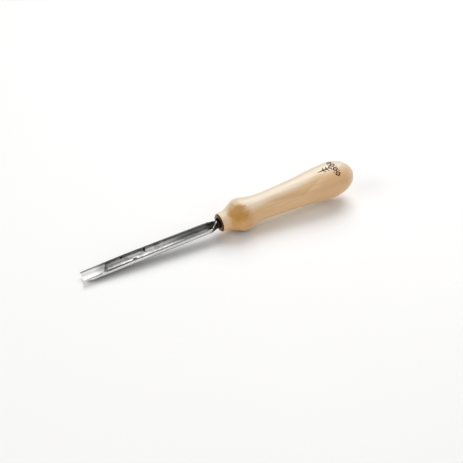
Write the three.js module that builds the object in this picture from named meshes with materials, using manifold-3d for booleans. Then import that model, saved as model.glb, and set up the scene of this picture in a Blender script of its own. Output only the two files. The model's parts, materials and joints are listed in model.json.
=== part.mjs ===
// Woodcarving gouge: a deep U-section forged steel blade in a turned hardwood handle with a steel ferrule.
// Lengths are in millimetres. The tool is built on its own axis: X runs from the cutting edge to the butt,
// X = 0 is the ferrule's front face, and Z points out of the open side of the flute.
// The finished group lies on Z = 0 as the tool rests on a bench: bevel heel and handle bead down.
import * as THREE from "three";
import { mergeVertices } from "three/addons/utils/BufferGeometryUtils.js";
import Module from "manifold-3d";

const ROUND_SEGMENTS = 48;
const GAP = 0.3; // clearance between neighbouring pieces

// Blade
const EDGE_X = -118;
const NECK_X = -9; // the channel starts to narrow here
const SHANK_X = -2; // the neck ends here
const HALF_WIDTH_EDGE = 6.0;
const HALF_WIDTH_NECK = 5.58;
const RIM_Z = 0.7;
const RIM_FALL = 1.1; // how far the rims fall towards the edge
const RIM_FALL_X = -80;
const SOLE_CENTRE_Z = 0.15; // centre of the round sole
const SHANK_RADIUS = 3.3;
const SHANK_Z = -0.75;
const RAMP_X = -6.5; // the rims ramp up to the shank's top from here

// Flute, turned about an axis above the rims, and its honed mouth that widens to the full width at the edge
const FLUTE_Z = RIM_Z + 0.42;
const FLUTE_RADIUS_MOUTH = 4.67;
const FLUTE_RADIUS_NECK = 4.18;
const MOUTH_X = -102;
const MOUTH_Z = RIM_Z + 1.64;
const MOUTH_RADIUS = 5.79;

// Outside bevel, ground about the mouth's axis
const EDGE_THICKNESS = 0.1;
const BEVEL_LENGTH = 11;
const BEVEL_END_X = 70;

// Tang
const TANG_X = 11;
const TANG_END_X = 55;
const TANG_SIDE = 4.8;
const TANG_END_SIDE = 2.4;

// Ferrule
const FERRULE_RADIUS = 7.0;
const FERRULE_BORE_RADIUS = 4.4;
const FERRULE_LENGTH = 12;
const FERRULE_CHAMFER = 0.35;

// Handle
const WOOD_FRONT_X = 0.9;
const BEAD_X = 21;
const BEAD_RADIUS = 14.1;
const SWELL_X = 110;
const SWELL_RADIUS = 15.6;
const BUTT_LENGTH = 22.9; // from the swell to the end of the dome
const BUTT_FLAT_RADIUS = 2.6; // where the lathe's tailstock centre was cut off
const HANDLE_CURVE = [
  [7.8, 1.2],
  [8.0, 3.6],
  [8.45, 6.6],
  [9.6, 9.7],
  [11.35, 12.9],
  [13.2, 16.4],
  [13.95, 18.8],
  [BEAD_RADIUS, BEAD_X],
  [13.65, 24],
  [12.45, 29.5],
  [11.6, 36],
  [11.35, 43],
  [11.55, 52],
  [12.0, 62],
  [12.65, 72],
  [13.5, 82],
  [14.45, 92],
  [15.2, 101],
  [SWELL_RADIUS, SWELL_X],
];

const wasm = await Module();
wasm.setup();

function solid(geometry) {
  const points = new THREE.BufferGeometry();
  const flat = geometry.index ? geometry.toNonIndexed() : geometry;
  points.setAttribute("position", flat.getAttribute("position"));
  const merged = mergeVertices(points, 1e-4);
  return new wasm.Manifold(
    new wasm.Mesh({
      numProp: 3,
      vertProperties: merged.attributes.position.array,
      triVerts: new Uint32Array(merged.index.array),
    }),
  );
}

function geometryOf(manifold) {
  const mesh = manifold.getMesh();
  const geometry = new THREE.BufferGeometry();
  geometry.setAttribute("position", new THREE.BufferAttribute(mesh.vertProperties, 3));
  geometry.setIndex(new THREE.BufferAttribute(mesh.triVerts, 1));
  const faceted = geometry.toNonIndexed();
  faceted.computeVertexNormals();
  return faceted;
}

// Turns a geometry made about Y so that it lies along X, with a flat of its polygon facing down.
function alongX(geometry, segments = ROUND_SEGMENTS) {
  geometry.rotateY(Math.PI / segments);
  return geometry.rotateZ(-Math.PI / 2);
}

// A straight taper about a line at height z; radii are to the flats, so flats meet flat sides exactly.
function taper(x0, radius0, x1, radius1, z, segments = ROUND_SEGMENTS) {
  const toCorner = 1 / Math.cos(Math.PI / segments);
  const geometry = new THREE.CylinderGeometry(
    radius1 * toCorner,
    radius0 * toCorner,
    x1 - x0,
    segments,
  );
  return alongX(geometry, segments).translate((x0 + x1) / 2, 0, z);
}

// A side view outline of [x, z] points, extruded across the tool.
function sideCut(outline, width) {
  const shape = new THREE.Shape(outline.map(([x, z]) => new THREE.Vector2(x, z)));
  const geometry = new THREE.ExtrudeGeometry(shape, { depth: width, bevelEnabled: false });
  return geometry.rotateX(Math.PI / 2).translate(0, width / 2, 0);
}

// The straight upper sides of the channel, between the round sole's centre and the rims.
function channelSides() {
  const plan = new THREE.Shape([
    new THREE.Vector2(EDGE_X, -HALF_WIDTH_EDGE),
    new THREE.Vector2(NECK_X, -HALF_WIDTH_NECK),
    new THREE.Vector2(NECK_X, HALF_WIDTH_NECK),
    new THREE.Vector2(EDGE_X, HALF_WIDTH_EDGE),
  ]);
  const depth = RIM_Z - SOLE_CENTRE_Z;
  return new THREE.ExtrudeGeometry(plan, { depth, bevelEnabled: false }).translate(0, 0, SOLE_CENTRE_Z);
}

// A taper about a line that runs from height z0 to height z1.
function slopedTaper(x0, radius0, z0, x1, radius1, z1) {
  const slope = (z1 - z0) / (x1 - x0);
  const shear = new THREE.Matrix4().makeShear(0, slope, 0, 0, 0, 0);
  return taper(x0, radius0, x1, radius1, z0).translate(-x0, 0, 0).applyMatrix4(shear).translate(x0, 0, 0);
}

// The round neck that runs down from the channel's centre to the shank's.
function neck() {
  return slopedTaper(NECK_X, HALF_WIDTH_NECK, SOLE_CENTRE_Z, SHANK_X, SHANK_RADIUS, SHANK_Z);
}

// Everything above the rims, which fall towards the edge and ramp up onto the top of the shank.
function aboveRims() {
  const shankTop = SHANK_Z + SHANK_RADIUS + 0.1;
  const clear = 20;
  const fall = (RIM_FALL * (RIM_FALL_X - EDGE_X + 1)) / (RIM_FALL_X - EDGE_X);
  return sideCut(
    [
      [EDGE_X - 1, RIM_Z - fall],
      [RIM_FALL_X, RIM_Z],
      [RAMP_X, RIM_Z],
      [SHANK_X, shankTop],
      [SHANK_X, clear],
      [EDGE_X - 1, clear],
    ],
    clear,
  );
}

// The flute: a long slender taper that closes to a point at the shank.
function flute() {
  const points = [
    new THREE.Vector2(0, MOUTH_X),
    new THREE.Vector2(FLUTE_RADIUS_MOUTH, MOUTH_X),
    new THREE.Vector2(FLUTE_RADIUS_NECK, NECK_X),
    new THREE.Vector2(0, SHANK_X),
  ];
  return alongX(new THREE.LatheGeometry(points, ROUND_SEGMENTS)).translate(0, 0, FLUTE_Z);
}

// The flute's front end, from the same polygon as the flute to a wider and shallower arc beyond the edge.
function mouth() {
  const radius = FLUTE_RADIUS_MOUTH * Math.cos(Math.PI / ROUND_SEGMENTS);
  const beyond = 1 + 1 / (MOUTH_X - EDGE_X);
  const endRadius = radius + (MOUTH_RADIUS - radius) * beyond;
  const endZ = FLUTE_Z + (MOUTH_Z - FLUTE_Z) * beyond;
  return slopedTaper(EDGE_X - 1, endRadius, endZ, MOUTH_X, radius, FLUTE_Z);
}

// The cone that bounds the outside bevel and stays clear of the rest of the blade.
function bevelCone() {
  const edgeRadius = MOUTH_RADIUS + EDGE_THICKNESS;
  const heelRadius = HALF_WIDTH_EDGE + MOUTH_Z - SOLE_CENTRE_Z;
  const slope = (heelRadius - edgeRadius) / BEVEL_LENGTH;
  const endRadius = edgeRadius + slope * (BEVEL_END_X - EDGE_X);
  return taper(EDGE_X, edgeRadius, BEVEL_END_X, endRadius, MOUTH_Z);
}

function tang(grow) {
  return taper(TANG_X - 1, TANG_SIDE / 2 + grow, TANG_END_X + grow, TANG_END_SIDE / 2 + grow, SHANK_Z, 4);
}

function bladeGeometry() {
  const channel = solid(taper(EDGE_X, HALF_WIDTH_EDGE, NECK_X, HALF_WIDTH_NECK, SOLE_CENTRE_Z));
  const shank = solid(taper(SHANK_X - 1, SHANK_RADIUS, TANG_X, SHANK_RADIUS, SHANK_Z));
  const forging = channel
    .add(solid(channelSides()))
    .add(solid(neck()))
    .subtract(solid(aboveRims()))
    .add(shank)
    .add(solid(tang(0)));
  const hollow = solid(flute()).add(solid(mouth()));
  return geometryOf(forging.subtract(hollow).intersect(solid(bevelCone())));
}

function ferruleGeometry() {
  const inner = FERRULE_BORE_RADIUS;
  const outer = FERRULE_RADIUS;
  const ring = [
    [inner, FERRULE_CHAMFER],
    [inner, FERRULE_LENGTH],
    [outer, FERRULE_LENGTH],
    [outer, FERRULE_CHAMFER],
    [outer - FERRULE_CHAMFER, 0],
    [inner + FERRULE_CHAMFER, 0],
    [inner, FERRULE_CHAMFER],
  ];
  const points = ring.reverse().map(([radius, x]) => new THREE.Vector2(radius, x));
  return alongX(new THREE.LatheGeometry(points, ROUND_SEGMENTS));
}

function handleGeometry() {
  const curve = new THREE.SplineCurve(HANDLE_CURVE.map(([radius, x]) => new THREE.Vector2(radius, x)));
  const flatAngle = Math.acos(BUTT_FLAT_RADIUS / SWELL_RADIUS);
  const dome = new THREE.EllipseCurve(0, SWELL_X, SWELL_RADIUS, BUTT_LENGTH, 0, flatAngle);
  const buttX = SWELL_X + BUTT_LENGTH * Math.sin(flatAngle);
  const frontEdge = HANDLE_CURVE[0][0] - 0.2;
  const points = [
    new THREE.Vector2(0, WOOD_FRONT_X),
    new THREE.Vector2(frontEdge, WOOD_FRONT_X),
    ...curve.getPoints(2 * (HANDLE_CURVE.length - 1)),
    ...dome.getPoints(10).slice(1),
    new THREE.Vector2(0, buttX),
  ];
  const turned = solid(alongX(new THREE.LatheGeometry(points, ROUND_SEGMENTS)));
  const seatEnd = FERRULE_LENGTH + GAP;
  const seat = taper(-1, FERRULE_RADIUS + GAP, seatEnd, FERRULE_RADIUS + GAP, 0);
  return geometryOf(turned.subtract(solid(seat)).subtract(solid(tang(GAP))));
}

function piece(name, geometry, color, roughness, metalness) {
  const material = new THREE.MeshStandardMaterial({ color, roughness, metalness });
  const mesh = new THREE.Mesh(geometry, material);
  mesh.name = name;
  return mesh;
}

const tool = new THREE.Group();
tool.add(piece("blade", bladeGeometry(), 0x9a9da1, 0.32, 0.95));
tool.add(piece("ferrule", ferruleGeometry(), 0x5a4636, 0.45, 0.8));
tool.add(piece("handle", handleGeometry(), 0xe0bc8c, 0.6, 0));

// The bevel heel and the bead touch the bench.
const heelDepth = HALF_WIDTH_EDGE - SOLE_CENTRE_Z;
const restTilt = Math.atan2(BEAD_RADIUS - heelDepth, BEAD_X - EDGE_X - BEVEL_LENGTH);
tool.rotation.y = -restTilt;

const gouge = new THREE.Group();
gouge.name = "carving_gouge";
gouge.add(tool);
gouge.updateMatrixWorld(true);
const box = new THREE.Box3().setFromObject(gouge, true);
const middle = box.getCenter(new THREE.Vector3());
tool.position.set(-middle.x, -middle.y, -box.min.z);

export default gouge;
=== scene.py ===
"""A woodcarving gouge at rest on a pale studio floor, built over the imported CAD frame.

The three CAD nodes are replaced by finer meshes to the CAD's dimensions: the forged blade, the ferrule and
the turned handle. A small burnt motif is added near the butt. Shapes are worked out in millimetres on the
tool's own axis: x runs from the cutting edge to the butt, zero is the ferrule's front face, and z points out
of the open side of the flute. They are placed in the frame, in metres, and the materials read the tool's own
coordinates so that grain and grinding marks follow its axis.
"""
import json
import math

import bpy
from mathutils import Matrix, Vector

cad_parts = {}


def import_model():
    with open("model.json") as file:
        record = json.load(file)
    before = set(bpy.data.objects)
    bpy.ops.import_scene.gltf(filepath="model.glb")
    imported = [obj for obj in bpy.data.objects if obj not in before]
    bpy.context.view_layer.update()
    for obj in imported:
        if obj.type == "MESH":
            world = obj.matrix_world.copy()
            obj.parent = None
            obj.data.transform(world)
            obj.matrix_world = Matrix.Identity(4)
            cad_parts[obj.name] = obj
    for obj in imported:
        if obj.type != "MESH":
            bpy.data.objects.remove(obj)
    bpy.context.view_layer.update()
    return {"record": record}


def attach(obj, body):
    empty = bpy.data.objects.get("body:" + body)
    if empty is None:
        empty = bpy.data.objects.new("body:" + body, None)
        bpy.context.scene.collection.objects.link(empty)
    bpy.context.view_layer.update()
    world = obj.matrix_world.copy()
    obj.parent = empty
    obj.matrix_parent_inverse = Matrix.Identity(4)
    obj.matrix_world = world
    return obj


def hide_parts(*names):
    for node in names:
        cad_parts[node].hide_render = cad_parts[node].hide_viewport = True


MM = 0.001

# Blade
EDGE_X = -118.0
NECK_X = -9.0
SHANK_X = -2.0
HALF_WIDTH_EDGE = 6.0
HALF_WIDTH_NECK = 5.58
RIM_Z = 0.7
RIM_FALL = 1.1
RIM_FALL_X = -80.0
SOLE_CENTRE_Z = 0.15
SHANK_RADIUS = 3.3
SHANK_Z = -0.75
RAMP_X = -6.5
FLUTE_Z = RIM_Z + 0.42
FLUTE_RADIUS_MOUTH = 4.67
FLUTE_RADIUS_NECK = 4.18
MOUTH_X = -102.0
MOUTH_Z = RIM_Z + 1.64
MOUTH_RADIUS = 5.79
EDGE_THICKNESS = 0.09  # a little under the CAD's 0.1, to stay inside its facets
BEVEL_LENGTH = 11.0
SHANK_STATIONS = (0.0, 4.0, 8.0, 10.4)  # where the round shank's rings lie
TANG_X = 11.0
TANG_END_X = 55.0
TANG_HALF_SIDE = 2.4
TANG_END_HALF_SIDE = 1.2
TANG_STEPS = 5
TANG_CIRCLE = 1.08  # radius, in half sides, of the circle that softens the tang's corners
TANG_SQUARENESS = 0.75
RIM_ROUNDING = 0.28
BEVEL_STEP = 0.25  # between the sections near the edge
BEVEL_STATIONS = 60
OUTER_STEPS = 44  # steps of one blade section round its outside
FLUTE_STEPS = 26  # and across its flute
CORNER_STEPS = 4
NARROWEST_LAND = 0.1  # of steel between the flute and the outside
SMALLEST_FLUTE = 0.02

# Ferrule
FERRULE_RADIUS = 7.0
FERRULE_BORE_RADIUS = 4.4
FERRULE_LENGTH = 12.0
FERRULE_ROUNDING = 0.4
FERRULE_SEGMENTS = 128

# Handle
INSIDE_FACETS = 0.9955  # keeps the smooth surface inside the CAD's faceted one
GAP = 0.3
WOOD_FRONT_X = 0.9
SWELL_X = 110.0
SWELL_RADIUS = 15.6
BUTT_LENGTH = 22.9
BUTT_FLAT_RADIUS = 2.6
BUTT_RING_RADIUS = 1.2  # inside the flat
BUTT_RISE = 0.01
BUTT_STEPS = 40
SOCKET_RADIUS = 3.4
SOCKET_END_RADIUS = 2.9
SOCKET_END_X = 54.0
ON_AXIS = 0.01  # radius of the smallest ring where a turned surface closes
HANDLE_SEGMENTS = 144
CURVE_STEPS = 8
HANDLE_CURVE = [
    (7.8, 1.2), (8.0, 3.6), (8.45, 6.6), (9.6, 9.7), (11.35, 12.9), (13.2, 16.4), (13.95, 18.8),
    (14.1, 21.0), (13.65, 24.0), (12.45, 29.5), (11.6, 36.0), (11.35, 43.0), (11.55, 52.0), (12.0, 62.0),
    (12.65, 72.0), (13.5, 82.0), (14.45, 92.0), (15.2, 101.0), (SWELL_RADIUS, SWELL_X),
]

# Camera: its direction and distance from the ferrule's front face, in degrees and metres
CAMERA_AZIMUTH = math.radians(30.7)
CAMERA_ELEVATION = math.radians(37.0)
CAMERA_ROLL = math.radians(0.94)
CAMERA_DISTANCE = 0.617
SENSOR_WIDTH = 36.0  # mm
FOCAL_WIDTHS = 1.64363  # focal length in sensor widths
# How far right of and below the picture's centre the ferrule's face lies, in picture widths
AIM_OFFSET = (-0.027862, -0.018143)


def clamp(value):
    return min(1.0, max(0.0, value))


def mix(a, b, t):
    return a + (b - a) * t


def spaced(start, end, steps):
    """Evenly spaced values with both ends in them."""
    return [mix(start, end, i / steps) for i in range(steps + 1)]


def ease(t):
    t = clamp(t)
    return t * t * (3 - 2 * t)


# ---------------------------------------------------------------- meshes

def add_object(name, points, faces):
    """A smooth object from points in millimetres."""
    mesh = bpy.data.meshes.new(name)
    mesh.from_pydata([tuple(c * MM for c in point) for point in points], [], faces)
    mesh.validate()
    mesh.shade_smooth()
    obj = bpy.data.objects.new(name, mesh)
    bpy.context.scene.collection.objects.link(obj)
    return obj


def grid_mesh(name, rows, capped=False):
    """An object through rows of points in millimetres, each row a ring with the same number of points."""
    count = len(rows[0])
    faces = []
    for i in range(len(rows) - 1):
        for j in range(count):
            k = (j + 1) % count
            faces.append((i * count + j, i * count + k, (i + 1) * count + k, (i + 1) * count + j))
    if capped:
        last = (len(rows) - 1) * count
        faces.append(tuple(reversed(range(count))))
        faces.append(tuple(range(last, last + count)))
    return add_object(name, [point for row in rows for point in row], faces)


def ring(radius, x, segments):
    angles = (2 * math.pi * i / segments for i in range(segments))
    return [(x, radius * math.cos(a), radius * math.sin(a)) for a in angles]


def turned(name, profile, segments):
    """A surface of revolution about the tool's axis, from (radius, x) points."""
    return grid_mesh(name, [ring(radius, x, segments) for radius, x in profile])


def catmull_rom(points, steps):
    """The same uniform Catmull-Rom curve as the CAD handle follows."""
    result = []
    for i in range(len(points) - 1):
        p0 = points[max(i - 1, 0)]
        p1, p2 = points[i], points[i + 1]
        p3 = points[min(i + 2, len(points) - 1)]
        for step in range(steps):
            t = step / steps
            result.append(tuple(
                0.5 * (2 * b + (c - a) * t + (2 * a - 5 * b + 4 * c - d) * t * t
                       + (3 * b - a - 3 * c + d) * t ** 3)
                for a, b, c, d in zip(p0, p1, p2, p3)
            ))
    result.append(points[-1])
    return result


# ---------------------------------------------------------------- blade

def neck_share(x):
    return ease((x - NECK_X) / (SHANK_X - NECK_X))


def outer_radius(x):
    if x <= NECK_X:
        return mix(HALF_WIDTH_EDGE, HALF_WIDTH_NECK, (x - EDGE_X) / (NECK_X - EDGE_X))
    return mix(HALF_WIDTH_NECK, SHANK_RADIUS, neck_share(x))


def centre_z(x):
    return mix(SOLE_CENTRE_Z, SHANK_Z, neck_share(x))


def top_z(x):
    if x < RIM_FALL_X:
        return RIM_Z - RIM_FALL * (RIM_FALL_X - x) / (RIM_FALL_X - EDGE_X)
    return mix(RIM_Z, SHANK_Z + SHANK_RADIUS, ease((x - RAMP_X) / (SHANK_X - RAMP_X)))


def flute_arc(x):
    """The flute's radius and the height of its centre."""
    if x > NECK_X:
        return FLUTE_RADIUS_NECK * max(0.0, (SHANK_X - x) / (SHANK_X - NECK_X)), FLUTE_Z
    radius = mix(FLUTE_RADIUS_MOUTH, FLUTE_RADIUS_NECK, clamp((x - MOUTH_X) / (NECK_X - MOUTH_X)))
    opened = clamp((MOUTH_X - x) / (MOUTH_X - EDGE_X))
    return mix(radius, MOUTH_RADIUS, opened), mix(FLUTE_Z, MOUTH_Z, opened)


def bevel_radius(x):
    """How far from the mouth's axis the outside bevel lets the steel reach."""
    edge = MOUTH_RADIUS + EDGE_THICKNESS
    heel = HALF_WIDTH_EDGE + MOUTH_Z - SOLE_CENTRE_Z
    return edge + (heel - edge) * (x - EDGE_X) / BEVEL_LENGTH


def rounded_corner(start, corner, end, steps):
    """Points of a small arc from start to end, pulled towards the corner."""
    return [
        tuple((1 - t) ** 2 * a + 2 * t * (1 - t) * b + t * t * c for a, b, c in zip(start, corner, end))
        for t in spaced(0.0, 1.0, steps)
    ]


def blade_section(x):
    """The channel's outside and its flute at x, as (y, z) points that make one closed ring together."""
    radius, centre, top = outer_radius(x), centre_z(x), top_z(x)
    squareness = 1 - neck_share(x)
    rim_angle = math.asin(min(1.0, (top - centre) / radius))

    def outside(angle):
        wide = mix(math.cos(angle), 1.0, squareness) if angle > 0 else math.cos(angle)
        return (radius * wide, centre + radius * math.sin(angle))

    rim_y = outside(rim_angle)[0]
    flute, flute_z = flute_arc(x)
    drop = flute_z - top
    flute_y = math.sqrt(max(flute * flute - drop * drop, 0.0)) if flute > abs(drop) else 0.0
    flute_y = min(flute_y, rim_y - NARROWEST_LAND)
    land = rim_y - flute_y
    outer_round = min(RIM_ROUNDING, land * 0.4)
    inner_round = min(RIM_ROUNDING * 0.5, land * 0.3)

    start_angle = math.asin(min(1.0, (top - outer_round - centre) / radius))
    half = rounded_corner((rim_y - outer_round, top), (rim_y, top), outside(start_angle), CORNER_STEPS)
    half += [outside(angle) for angle in spaced(start_angle, -math.pi / 2, OUTER_STEPS // 2)[1:]]
    outer = half + [(-y, z) for y, z in reversed(half[:-1])]

    if flute_y > SMALLEST_FLUTE:
        rim_turn = math.asin(clamp(flute_y / flute))
        start_turn = max(rim_turn - inner_round / flute, rim_turn * 0.5)
        lip = (flute * math.sin(start_turn), flute_z - flute * math.cos(start_turn))
    else:
        flute_y, inner_round, start_turn, lip = 0.0, 0.0, 0.0, (0.0, top)
    half = rounded_corner((flute_y + inner_round, top), (flute_y, top), lip, CORNER_STEPS)
    for turn in spaced(start_turn, 0.0, FLUTE_STEPS // 2)[1:]:
        half.append((flute * math.sin(turn), flute_z - flute * math.cos(turn)) if flute_y > 0 else lip)
    inner = [(-y, z) for y, z in half] + list(reversed(half[:-1]))
    return outer, inner


def beveled(points, x):
    """The points moved in to the bevel's cone, with none of them above the rims."""
    limit, top = bevel_radius(x), top_z(x)
    result = []
    for y, z in points:
        scale = min(1.0, limit / math.hypot(y, z - MOUTH_Z))
        result.append((y * scale, min(MOUTH_Z + (z - MOUTH_Z) * scale, top)))
    return result


def blade_stations():
    """Where the sections lie: close together at the bevel and the neck, and wider apart between them."""
    bevel = [EDGE_X + BEVEL_STEP * i for i in range(BEVEL_STATIONS)]
    return bevel + spaced(MOUTH_X, NECK_X - 1.0, 60) + spaced(NECK_X - 0.6, SHANK_X, 44)


def round_ring(x, radius, angles):
    """Points round the shank's axis at the given angles."""
    return [(x, radius * math.cos(a), SHANK_Z + radius * math.sin(a)) for a in angles]


def square_ring(x, half_side, angles):
    """Points of a square with softened corners round the shank's axis."""
    result = []
    for angle in angles:
        c, s = math.cos(angle), math.sin(angle)
        reach = mix(half_side * TANG_CIRCLE, half_side / max(abs(c), abs(s)), TANG_SQUARENESS)
        result.append((x, reach * c, SHANK_Z + reach * s))
    return result


def build_blade():
    rows = []
    for x in blade_stations():
        outer, inner = blade_section(x)
        rows.append([(x, y, z) for y, z in beveled(outer, x) + inner])
    # The flute has closed here, so its points stay together on top of the shank.
    outer, inner = blade_section(SHANK_X)
    angles = [math.atan2(z - SHANK_Z, y) for y, z in outer] + [math.pi / 2] * len(inner)
    for x in SHANK_STATIONS:
        rows.append(round_ring(x, SHANK_RADIUS, angles))
    sides = spaced(TANG_HALF_SIDE, TANG_END_HALF_SIDE, TANG_STEPS)
    for x, half_side in zip(spaced(TANG_X, TANG_END_X, TANG_STEPS), sides):
        rows.append(square_ring(x, half_side, angles))
    return grid_mesh("gouge_blade", rows, capped=True)


# ---------------------------------------------------------------- ferrule and handle

def rounded_profile(corners, rounding):
    """A closed profile of (radius, x) corners with each corner rounded off."""
    result = []
    count = len(corners)
    for i, corner in enumerate(corners):
        before, after = Vector(corners[i - 1]), Vector(corners[(i + 1) % count])
        here = Vector(corner)
        start = here + (before - here).normalized() * rounding
        end = here + (after - here).normalized() * rounding
        result += rounded_corner(tuple(start), tuple(here), tuple(end), CORNER_STEPS)
    return result


def build_ferrule():
    corners = [
        (FERRULE_BORE_RADIUS, 0.0), (FERRULE_BORE_RADIUS, FERRULE_LENGTH),
        (FERRULE_RADIUS, FERRULE_LENGTH), (FERRULE_RADIUS, 0.0),
    ]
    profile = rounded_profile(corners, FERRULE_ROUNDING)[::-1]
    return turned("gouge_ferrule", profile + profile[:1], FERRULE_SEGMENTS)


def handle_outline():
    """The wood's outside as (radius, x) points: the turned curve and then the domed butt."""
    outline = [(r * INSIDE_FACETS, x) for r, x in catmull_rom(HANDLE_CURVE, CURVE_STEPS)]
    for a in spaced(0.0, math.acos(BUTT_FLAT_RADIUS / SWELL_RADIUS), BUTT_STEPS)[1:]:
        outline.append((SWELL_RADIUS * INSIDE_FACETS * math.cos(a), SWELL_X + BUTT_LENGTH * math.sin(a)))
    return outline


def handle_radius(x, outline):
    for (r0, x0), (r1, x1) in zip(outline, outline[1:]):
        if x0 <= x <= x1:
            return mix(r0, r1, (x - x0) / (x1 - x0))
    return outline[-1][0]


def build_handle():
    outline = handle_outline()
    end_x = outline[-1][1]
    seat = FERRULE_RADIUS + GAP
    seat_end = FERRULE_LENGTH + GAP
    hole = [
        (ON_AXIS, SOCKET_END_X + 0.5), (SOCKET_END_RADIUS, SOCKET_END_X), (SOCKET_RADIUS, seat_end + 0.3),
        (seat - 0.2, seat_end), (seat, seat_end - 0.2), (seat, WOOD_FRONT_X + 0.1),
    ]
    front_corner = (outline[0][0], WOOD_FRONT_X)
    front = rounded_corner((seat + 0.08, WOOD_FRONT_X), front_corner, outline[0], 5)
    butt = [(BUTT_RING_RADIUS, end_x + BUTT_RISE), (ON_AXIS, end_x + BUTT_RISE)]
    return turned("gouge_handle", hole + front + outline[1:] + butt, HANDLE_SEGMENTS)


# ---------------------------------------------------------------- burnt motif

MOTIF_X = 106.0
MOTIF_ANGLE = math.radians(104)
MOTIF_HALF_WIDTH = 0.5  # of a stroke
MOTIF_LIFT = 0.02  # above the wood
LOZENGE_ROW = (-7.4, -2.6, 2.2, 7.0)  # the lozenges' centres round the handle


def arc(centre_x, centre_s, radius, start, end, steps=16):
    """Points of an arc on the handle's unrolled surface: x along the axis, s round it."""
    angles = [math.radians(angle) for angle in spaced(start, end, steps)]
    return [(centre_x + radius * math.cos(a), centre_s + radius * math.sin(a)) for a in angles]


def segment(start, end, steps=6):
    return list(zip(spaced(start[0], end[0], steps), spaced(start[1], end[1], steps)))


def lozenge(x, s, half_x, half_s):
    corners = [(x - half_x, s), (x, s + half_s), (x + half_x, s), (x, s - half_s), (x - half_x, s)]
    points = [corners[0]]
    for start, end in zip(corners, corners[1:]):
        points += segment(start, end)[1:]
    return points


def motif_lozenges():
    """A row of lozenges round the handle."""
    return [lozenge(5.2, s, 2.3, 1.9) for s in LOZENGE_ROW]


def motif_strokes():
    """The strokes in and between the lozenges, and a sprig of leaves that points to the blade."""
    strokes = [segment((4.7, s), (5.7, s)) for s in LOZENGE_ROW]
    for s in (-5.0, -0.2, 4.6):
        strokes.append(segment((7.0, s), (8.4, s)))
        strokes.append(segment((2.0, s), (3.2, s)))
    strokes.append(segment((-10.5, -1.0), (0.2, -1.0), 12))
    for x in (-8.8, -5.6, -2.4):
        for side in (-1, 1):
            strokes.append(arc(x + 2.2, -1.0 + side * 2.6, 2.5, -92 * side, 5 * side))
    return strokes


def build_motif():
    """Ribbons that follow the wood: even along the lozenges, and thinner at both ends of a stroke."""
    outline = handle_outline()
    points, faces = [], []
    ribbons = [(stroke, True) for stroke in motif_lozenges()]
    ribbons += [(stroke, False) for stroke in motif_strokes()]
    for stroke, even in ribbons:
        first = len(points)
        count = len(stroke)
        for i, (u, s) in enumerate(stroke):
            before, after = stroke[max(i - 1, 0)], stroke[min(i + 1, count - 1)]
            du, ds = after[0] - before[0], after[1] - before[1]
            length = math.hypot(du, ds) or 1.0
            thin = 1.0 if even else 0.55 + 0.45 * math.sin(math.pi * i / (count - 1))
            half = MOTIF_HALF_WIDTH * thin
            for side in (-1, 0, 1):
                x = MOTIF_X + u - ds / length * half * side
                around = s + du / length * half * side
                radius = handle_radius(x, outline)
                angle = MOTIF_ANGLE + around / radius
                reach = radius + MOTIF_LIFT
                points.append((x, reach * math.cos(angle), reach * math.sin(angle)))
        for i in range(count - 1):
            a = first + 3 * i
            faces.append((a, a + 3, a + 4, a + 1))
            faces.append((a + 1, a + 4, a + 5, a + 2))
    return add_object("burnt_motif", points, faces)


# ---------------------------------------------------------------- materials

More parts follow.
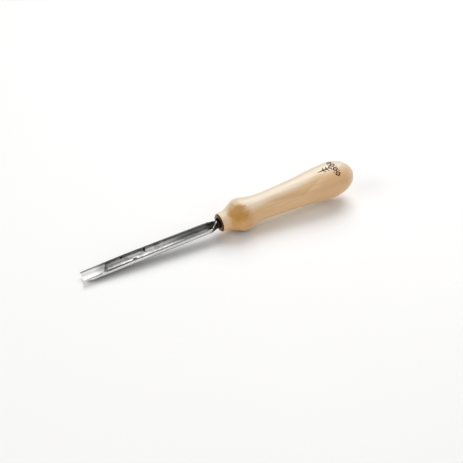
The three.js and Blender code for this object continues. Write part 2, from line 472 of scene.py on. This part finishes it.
class Graph:
    """Short calls for building one material's nodes. Places are in metres unless a name says mm."""

    def __init__(self, name, place=Matrix.Identity(4)):
        self.to_tool = place.inverted()
        self.material = bpy.data.materials.new(name)
        self.material.use_nodes = True
        self.tree = self.material.node_tree
        self.shader = self.tree.nodes["Principled BSDF"]

    def node(self, kind, settings=None, **inputs):
        node = self.tree.nodes.new("ShaderNode" + kind)
        for key, value in (settings or {}).items():
            setattr(node, key, value)
        for key, value in inputs.items():
            self.plug(node.inputs[key.replace("_", " ")], value)
        return node

    def plug(self, socket, value):
        if isinstance(value, bpy.types.NodeSocket):
            self.tree.links.new(value, socket)
        else:
            socket.default_value = value

    def math(self, operation, a, b=0.0):
        node = self.node("Math", {"operation": operation})
        self.plug(node.inputs[0], a)
        self.plug(node.inputs[1], b)
        return node.outputs[0]

    def product(self, first, *others):
        for other in others:
            first = self.math("MULTIPLY", first, other)
        return first

    def span(self, value, low, high, to_low=0.0, to_high=1.0, shape="SMOOTHSTEP"):
        """A value that goes from to_low to to_high while the input goes from low to high."""
        node = self.node("MapRange", {"interpolation_type": shape}, Value=value)
        for key, number in (("From Min", low), ("From Max", high), ("To Min", to_low), ("To Max", to_high)):
            node.inputs[key].default_value = number
        return node.outputs[0]

    def blend(self, factor, a, b):
        node = self.node("Mix", {"data_type": "RGBA"})
        self.plug(node.inputs[0], factor)
        self.plug(node.inputs[6], a)
        self.plug(node.inputs[7], b)
        return node.outputs[2]

    def tool_space(self):
        coordinates = self.node("TexCoord").outputs["Object"]
        turn, shift = self.to_tool.to_euler(), self.to_tool.translation
        return self.node("Mapping", Vector=coordinates, Rotation=turn, Location=shift).outputs[0]

    def axes(self):
        """The tool's own x, y and z."""
        return self.node("SeparateXYZ", Vector=self.tool_space()).outputs

    def place(self, scale=(1, 1, 1), offset=(0, 0, 0)):
        return self.node("Mapping", Vector=self.tool_space(), Scale=scale, Location=offset).outputs[0]

    def reach(self, y, z, centre_z=0.0):
        """The distance from a line along the tool at the height centre_z."""
        rise = self.math("SUBTRACT", z, centre_z)
        squares = self.math("ADD", self.math("MULTIPLY", y, y), self.math("MULTIPLY", rise, rise))
        return self.math("SQRT", squares)

    def ellipse(self, a, b, centre_mm, half_mm):
        """The squared distance from an ellipse's centre, which is 1 on the ellipse."""
        along = self.math("DIVIDE", self.math("SUBTRACT", a, centre_mm[0] * MM), half_mm[0] * MM)
        over = self.math("DIVIDE", self.math("SUBTRACT", b, centre_mm[1] * MM), half_mm[1] * MM)
        return self.math("ADD", self.math("MULTIPLY", along, along), self.math("MULTIPLY", over, over))

    def noise(self, scale, detail=3.0, roughness=0.5, stretch=(1, 1, 1), offset=(0, 0, 0)):
        where = self.place(stretch, offset)
        return self.node(
            "TexNoise", Vector=where, Scale=scale, Detail=detail, Roughness=roughness).outputs["Fac"]

    def sway(self, noise, amount):
        """The noise as a shift of up to half the amount either way."""
        return self.math("MULTIPLY", self.math("SUBTRACT", noise, 0.5), amount)

    def bump(self, height, distance, strength):
        return self.node("Bump", Height=height, Distance=distance, Strength=strength).outputs[0]

    def finish(self, **inputs):
        for key, value in inputs.items():
            self.plug(self.shader.inputs[key.replace("_", " ")], value)
        return self.material


def colour(r, g, b):
    """An sRGB colour as the linear one that shaders take."""
    linear = [c / 12.92 if c <= 0.04045 else ((c + 0.055) / 1.055) ** 2.4 for c in (r, g, b)]
    return (*linear, 1.0)


def grey(level):
    return colour(level, level, level)


# The honed mouth ends and the forged skin begins between these on the axis, and their border slants
HONED_END = -0.1012
FORGED_START = -0.1004

# Dark spots of forging scale in the flute: centre (x, y) and half lengths along and across, in millimetres
SCALE_SPOTS = [((-65.0, 4.1), (1.1, 1.2)), ((-74.5, 0.6), (2.2, 0.9)), ((-84.5, 4.3), (1.1, 0.35))]


def honed_steel(g, x, from_rim, streaks):
    """The bright mouth, duller towards the forged skin and close under the rims."""
    honed = g.blend(streaks, colour(0.95, 0.95, 0.94), colour(1.0, 1.0, 0.99))
    honed = g.blend(g.span(x, -0.108, -0.1005, 0.0, 0.65), honed, colour(0.6, 0.6, 0.59))
    return g.blend(g.span(from_rim, -0.0009, -0.0003, 0.0, 0.85), honed, colour(0.45, 0.45, 0.44))


def ground_steel(g, x, z, streaks):
    """The ground outer sides, with slanting grinding marks towards the edge and a sole darkened with painted
    shade.
    """
    turn = g.math("ADD", g.math("MULTIPLY", x, 3490.0), g.math("MULTIPLY", z, 700.0))
    marks = g.math("SINE", g.math("ADD", turn, g.math("MULTIPLY", streaks, 3.0)))
    marks = g.product(g.span(marks, -1.0, 1.0), g.span(x, -0.050, -0.070))
    ground = g.blend(marks, colour(0.90, 0.90, 0.89), colour(0.99, 0.99, 0.98))
    # Painted shade: the underside below the outer sides is darkened.
    return g.blend(g.span(z, -0.0022, -0.0031), ground, grey(0.25))


def forged_steel(g, x, y, mottle, behind_mouth):
    """The flute's forged skin: mottled walls, a paler strip along the floor, and spots of scale."""
    patches = g.noise(120, 4, 0.6, (0.35, 1, 1), (0.3, 0, 0))
    wall = g.blend(g.span(mottle, 0.38, 0.62), grey(0.36), colour(0.60, 0.60, 0.59))
    wall = g.blend(g.span(patches, 0.52, 0.66), wall, grey(0.27))
    wall = g.blend(g.span(x, -0.080, -0.094, 0.0, 0.5), wall, grey(0.33))
    # Painted shade: the near wall is darker, to dim its reflection of the lights.
    wall = g.blend(g.span(y, -0.0004, -0.0014, 0.0, 0.75), wall, grey(0.33))
    strip = g.blend(g.span(mottle, 0.36, 0.6), colour(0.66, 0.66, 0.65), colour(0.95, 0.95, 0.94))
    strip = g.blend(g.span(x, -0.074, -0.092, 0.0, 0.6), strip, grey(0.5))
    off_strip = g.math("ABSOLUTE", g.math("SUBTRACT", y, 0.0019))
    skin = g.blend(g.span(off_strip, 0.0024, 0.0012), wall, strip)
    deep = g.blend(g.span(y, 0.0026, 0.0038), grey(0.27), grey(0.42))
    skin = g.blend(g.span(x, -0.058, -0.026, 0.0, 0.88), skin, deep)
    for centre, half in SCALE_SPOTS:
        ragged = g.math("ADD", g.ellipse(x, y, centre, half), mottle)
        skin = g.blend(g.span(ragged, 1.9, 0.9), skin, grey(0.2))
    return g.blend(g.math("MULTIPLY", behind_mouth, 0.9), skin, grey(0.35))


def painted_lip_highlight(g, x, y, z):
    """A painted highlight: a short bright line along the near lip where the rim runs into the blackened
    neck.
    """
    lip_y = g.math("MULTIPLY", g.math("SUBTRACT", x, -0.0018), 0.62)
    off_lip = g.math("ABSOLUTE", g.math("SUBTRACT", y, lip_y))
    along = g.product(g.span(x, -0.0074, -0.0064), g.span(x, -0.0014, -0.0022))
    return g.product(g.span(off_lip, 0.0008, 0.0005), along, g.span(z, 0.0002, 0.0005))


def blade_material(place):
    g = Graph("gouge_blade_steel", place)
    x, y, z = g.axes()
    streaks = g.noise(900, 4, 0.6, (0.035, 1, 1))
    grinding = g.noise(1500, 3, 0.6, (1, 0.06, 0.06))
    mottle = g.noise(420, 6, 0.68, (0.4, 1, 1))
    wobble = g.sway(mottle, 0.0016)
    rim_height = g.span(
        x, EDGE_X * MM, RIM_FALL_X * MM, (RIM_Z - RIM_FALL) * MM, RIM_Z * MM, "LINEAR")
    from_rim = g.math("SUBTRACT", z, rim_height)

    # Each zone is 1 inside itself and 0 outside.
    front = g.math("SUBTRACT", x, g.math("MULTIPLY", y, 0.55))
    forged = g.product(
        g.span(g.math("ADD", front, wobble), HONED_END, FORGED_START),
        g.span(g.reach(y, z, FLUTE_Z * MM), 0.0050, 0.0048))
    behind_mouth = g.product(forged, g.span(g.math("ADD", x, wobble), -0.0960, -0.0986))
    honed = g.product(
        g.span(g.reach(y, z, MOUTH_Z * MM), 0.00650, 0.00642), g.span(front, FORGED_START, HONED_END))
    rim = g.product(
        g.span(from_rim, -0.0003, -0.0001), g.span(x, -0.009, -0.012), g.span(x, -0.104, -0.098))
    burnt = g.span(g.math("ADD", x, g.math("MULTIPLY", wobble, 2.0)), -0.012, -0.007)

    body = g.blend(honed, ground_steel(g, x, z, streaks), honed_steel(g, x, from_rim, streaks))
    body = g.blend(forged, body, forged_steel(g, x, y, mottle, behind_mouth))
    body = g.blend(rim, body, grey(0.36))
    body = g.blend(burnt, body, colour(0.19, 0.18, 0.16))
    # A painted highlight on the near lip at the neck.
    body = g.blend(painted_lip_highlight(g, x, y, z), body, colour(0.88, 0.88, 0.86))
    dullness = g.math("MAXIMUM", g.math("MAXIMUM", forged, burnt), rim)
    rough = g.blend(forged, (0.26, 0.26, 0.26, 1), (0.42, 0.42, 0.42, 1))
    rough = g.blend(honed, rough, (0.5, 0.5, 0.5, 1))
    rough = g.math("ADD", rough, g.span(streaks, 0.2, 0.8, -0.05, 0.06))
    height = g.math("ADD", streaks, g.product(mottle, forged, 4.0))
    height = g.math("ADD", height, g.math("MULTIPLY", grinding, 0.3))
    return g.finish(
        Base_Color=body, Metallic=g.span(dullness, 0.0, 1.0, 0.45, 0.75, "LINEAR"),
        Roughness=rough, Normal=g.bump(height, 0.00002, 0.7))


def ferrule_material(place):
    g = Graph("gouge_ferrule_steel", place)
    _, y, z = g.axes()
    patches = g.noise(420, 5, 0.6)
    rings = g.noise(3000, 2, 0.5, (1, 0.05, 0.05))
    body = g.blend(g.span(patches, 0.35, 0.7), colour(0.46, 0.35, 0.26), colour(0.62, 0.52, 0.44))
    # Painted shade: the ferrule is darker brown on its near side.
    painted_shade_side = g.span(g.math("ADD", y, g.math("MULTIPLY", z, -0.4)), 0.001, -0.003)
    body = g.blend(painted_shade_side, body, colour(0.33, 0.20, 0.08))
    # Painted shade: the bore and the inner edge of the ring's face are near black.
    painted_bore_shade = g.span(g.reach(y, z), 0.0048, 0.0044)
    body = g.blend(painted_bore_shade, body, colour(0.10, 0.06, 0.03))
    height = g.math("ADD", patches, rings)
    return g.finish(
        Base_Color=body, Metallic=0.75, Roughness=g.span(patches, 0.3, 0.7, 0.5, 0.34),
        Normal=g.bump(height, 0.00003, 0.5))


def growth_rings(g):
    return g.node(
        "TexWave", {"wave_type": "RINGS", "rings_direction": "X"},
        Vector=g.place((0.16, 1, 1), (0.0, 0.022, 0.03)), Scale=105, Distortion=5.0, Detail=3.0,
        Detail_Scale=0.8).outputs["Fac"]


def figured_wood(g, x, level, figure):
    """Brown and pale wood from the figure, with painted shade on the lower near side and a painted pale
    sheen on the upper far side, whose border wanders with the figure, and faint growth rings.
    """
    wood = g.blend(g.span(figure, 0.38, 0.62), colour(0.94, 0.815, 0.64), colour(0.87, 0.71, 0.52))
    side = g.math("ADD", level, g.sway(figure, 0.012))
    side = g.math("SUBTRACT", side, g.math("MULTIPLY", x, 0.045))
    # Painted shade on the lower near side.
    wood = g.blend(g.span(side, -0.003, -0.010, 0.0, 0.65), wood, colour(0.83, 0.66, 0.46))
    # A painted pale sheen on the upper far side.
    wood = g.blend(g.span(side, -0.003, 0.0055), wood, colour(0.885, 0.825, 0.73))
    return g.blend(g.math("MULTIPLY", growth_rings(g), 0.11), wood, colour(0.78, 0.6, 0.4))


def dark_figure(g, x, level, figure):
    """The shade above a line of figure that falls and rises again along the side, like a flat V."""
    past = g.math("SUBTRACT", x, 0.076)
    line = g.math("MAXIMUM", g.math("MULTIPLY", past, -0.176), g.math("MULTIPLY", past, 0.4))
    off_line = g.math("SUBTRACT", g.math("SUBTRACT", level, line), -0.0047)
    off_line = g.math("ADD", off_line, g.sway(figure, 0.006))
    above = g.product(g.span(off_line, -0.0002, 0.0008), g.span(off_line, 0.0090, 0.0010))
    return g.product(above, g.product(g.span(x, 0.034, 0.052), g.span(x, 0.105, 0.088)), 0.38)


def golden_front(g, x, level, body):
    """The wood with a golden wash round the cone and bead, and an irregular golden patch on it: partly the
    end grain's own colour and partly painted shade, the wash strongest on the lower near side.
    """
    cloud = g.noise(38, 2, 0.5, (0.6, 1, 1))
    # Partly painted shade: the wash fades towards the upper far side.
    cone = g.product(
        g.span(x, 0.003, 0.011), g.span(x, 0.029, 0.020), g.span(cloud, 0.3, 0.65, 0.35, 0.75),
        g.span(level, 0.0065, -0.001, 0.2, 1.0))
    body = g.blend(cone, body, colour(0.77, 0.57, 0.29))
    patch = g.ellipse(x, level, (14.5, 0.6), (7.2, 8.8))
    patch = g.math("ADD", patch, g.sway(g.noise(190, 3, 0.6, (0.5, 1, 1)), 3.2))
    return g.blend(g.span(patch, 1.5, 0.2, 0.0, 0.85), body, colour(0.70, 0.48, 0.13))


def wood_material(place):
    g = Graph("gouge_handle_wood", place)
    x, y, z = g.axes()
    grain = g.noise(700, 5, 0.62, (0.035, 1, 1))
    fibres = g.noise(2600, 3, 0.6, (0.03, 1, 1))
    figure = g.noise(70, 3, 0.5, (0.22, 1, 1), (0.02, 0.01, 0))
    # The level rises across the grain's layers towards the upper far side, where the back light falls; the
    # painted sheen and shade follow it. The ratio is -1 all along the underside.
    level = g.math("ADD", g.math("MULTIPLY", y, 0.685), g.math("MULTIPLY", z, 0.729))
    ratio = g.math("DIVIDE", z, g.reach(y, z))

    body = figured_wood(g, x, level, figure)
    body = g.blend(dark_figure(g, x, level, figure), body, colour(0.77, 0.59, 0.40))
    # The underside is paler along the waist as a painted reflection of the floor, and dark brown under the
    # bead as a painted contact shadow.
    # A painted reflection of the floor along the underside of the waist.
    painted_underside_reflection = g.product(
        g.span(ratio, -0.58, -0.74), g.span(x, 0.026, 0.034), g.span(x, 0.110, 0.090))
    body = g.blend(painted_underside_reflection, body, colour(1.0, 0.90, 0.75))
    body = g.blend(g.span(grain, 0.52, 0.75, 0.0, 0.28), body, colour(0.75, 0.59, 0.4))
    body = golden_front(g, x, level, body)
    pale_butt = g.span(x, 0.118, 0.131, 0.0, 0.6)
    body = g.blend(pale_butt, body, colour(0.95, 0.82, 0.66))
    # Painted contact shadow: the underside of the bead is dark brown.
    painted_bead_contact_shadow = g.product(
        g.span(ratio, -0.58, -0.72, 0.0, 0.92), g.span(x, 0.011, 0.0150), g.span(x, 0.0260, 0.0220))
    body = g.blend(painted_bead_contact_shadow, body, colour(0.38, 0.23, 0.09))
    height = g.math("ADD", grain, g.math("MULTIPLY", fibres, 0.5))
    return g.finish(
        Base_Color=body, Roughness=g.span(grain, 0.3, 0.7, 0.4, 0.5), Coat_Weight=0.5,
        Coat_Roughness=0.42, Normal=g.bump(height, 0.00003, 0.5))


def burn_material(place):
    g = Graph("burnt_wood", place)
    speckle = g.noise(900, 4, 0.6, (0.3, 1, 1))
    body = g.blend(g.span(speckle, 0.4, 0.75), colour(0.27, 0.13, 0.06), colour(0.46, 0.27, 0.14))
    return g.finish(
        Base_Color=body, Roughness=1.0, Specular_IOR_Level=0.0, Normal=g.bump(speckle, 0.00005, 0.6))


def floor_material():
    g = Graph("studio_floor")
    mottle = g.noise(6, 2, 0.5)
    body = g.blend(mottle, colour(0.955, 0.955, 0.957), colour(0.965, 0.965, 0.965))
    return g.finish(Base_Color=body, Roughness=g.span(mottle, 0.3, 0.7, 0.62, 0.7))


# ---------------------------------------------------------------- scene

def tool_matrix(record):
    """Where the tool's own axis lies at rest, from the ferrule's front face."""
    face = next(m for m in record["mounts"] if m["name"] == "ferrule_front")
    along = -Vector(face["axis"])
    origin = Vector(face["pos_m"])
    origin.y = 0.0
    across = Vector((0, 1, 0))
    up = along.cross(across)
    turn = Matrix((along, across, up)).transposed().to_4x4()
    return Matrix.Translation(origin) @ turn


# Square softboxes that face the origin: place and side in metres, power in watts
SOFTBOXES = {
    "back_softbox": ((0.682, 0.682, 1.149), 1.1, 17.6),
    "left_softbox": ((-1.36, 0.0, 0.634), 1.0, 11.0),
    "front_softbox": ((0.0, -1.36, 0.634), 1.0, 4.6),
    "right_softbox": ((1.33, -0.3, 0.634), 1.0, 2.4),
}
SKY_COLOUR = (1.0, 0.985, 0.95, 1.0)
SKY_STRENGTH = 0.265
FLOOR_SIDE = 8.0


def add_softbox(name, place, side, power):
    light = bpy.data.lights.new(name, "AREA")
    light.shape = "RECTANGLE"
    light.size = light.size_y = side
    light.energy = power
    obj = bpy.data.objects.new(name, light)
    obj.location = place
    obj.rotation_euler = (-Vector(place)).to_track_quat("-Z", "Y").to_euler()
    bpy.context.scene.collection.objects.link(obj)


def add_camera(target):
    azimuth, elevation = CAMERA_AZIMUTH, CAMERA_ELEVATION
    right = Vector((math.cos(azimuth), -math.sin(azimuth), 0))
    level = Vector((math.sin(azimuth), math.cos(azimuth), 0))
    forward = level * math.cos(elevation) - Vector((0, 0, math.sin(elevation)))
    up = right.cross(forward)
    turn = Matrix.Rotation(CAMERA_ROLL, 3, -forward)
    right, up = turn @ right, turn @ up
    across = AIM_OFFSET[0] / FOCAL_WIDTHS * CAMERA_DISTANCE
    down = AIM_OFFSET[1] / FOCAL_WIDTHS * CAMERA_DISTANCE
    camera = bpy.data.cameras.new("camera")
    camera.sensor_width = SENSOR_WIDTH
    camera.lens = SENSOR_WIDTH * FOCAL_WIDTHS
    camera.clip_start = 0.01
    obj = bpy.data.objects.new("camera", camera)
    place = target - forward * CAMERA_DISTANCE - right * across + up * down
    obj.matrix_world = Matrix.Translation(place) @ Matrix((right, up, -forward)).transposed().to_4x4()
    bpy.context.scene.collection.objects.link(obj)
    bpy.context.scene.camera = obj


def add_stage():
    bpy.ops.mesh.primitive_plane_add(size=FLOOR_SIDE)
    floor = bpy.context.object
    floor.name = "studio_floor"
    floor.data.materials.append(floor_material())
    world = bpy.data.worlds.new("studio")
    world.use_nodes = True
    background = world.node_tree.nodes["Background"]
    background.inputs["Color"].default_value = SKY_COLOUR
    background.inputs["Strength"].default_value = SKY_STRENGTH
    bpy.context.scene.world = world
    for name, (place, side, power) in SOFTBOXES.items():
        add_softbox(name, place, side, power)


def main():
    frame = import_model()
    place = tool_matrix(frame["record"])
    add_camera(place.translation)
    add_stage()
    bpy.context.scene.view_settings.view_transform = "Standard"

    pieces = [
        (build_blade(), "blade", "blade_steel", blade_material(place)),
        (build_ferrule(), "ferrule", "ferrule_steel", ferrule_material(place)),
        (build_handle(), "handle", "handle_wood", wood_material(place)),
        (build_motif(), None, "handle_wood", burn_material(place)),
    ]
    for obj, node, slot, material in pieces:
        obj.data.transform(place)
        obj.data.materials.append(material)
        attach(obj, "root")
        if node:
            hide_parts(node)

    bpy.context.view_layer.update()


main()
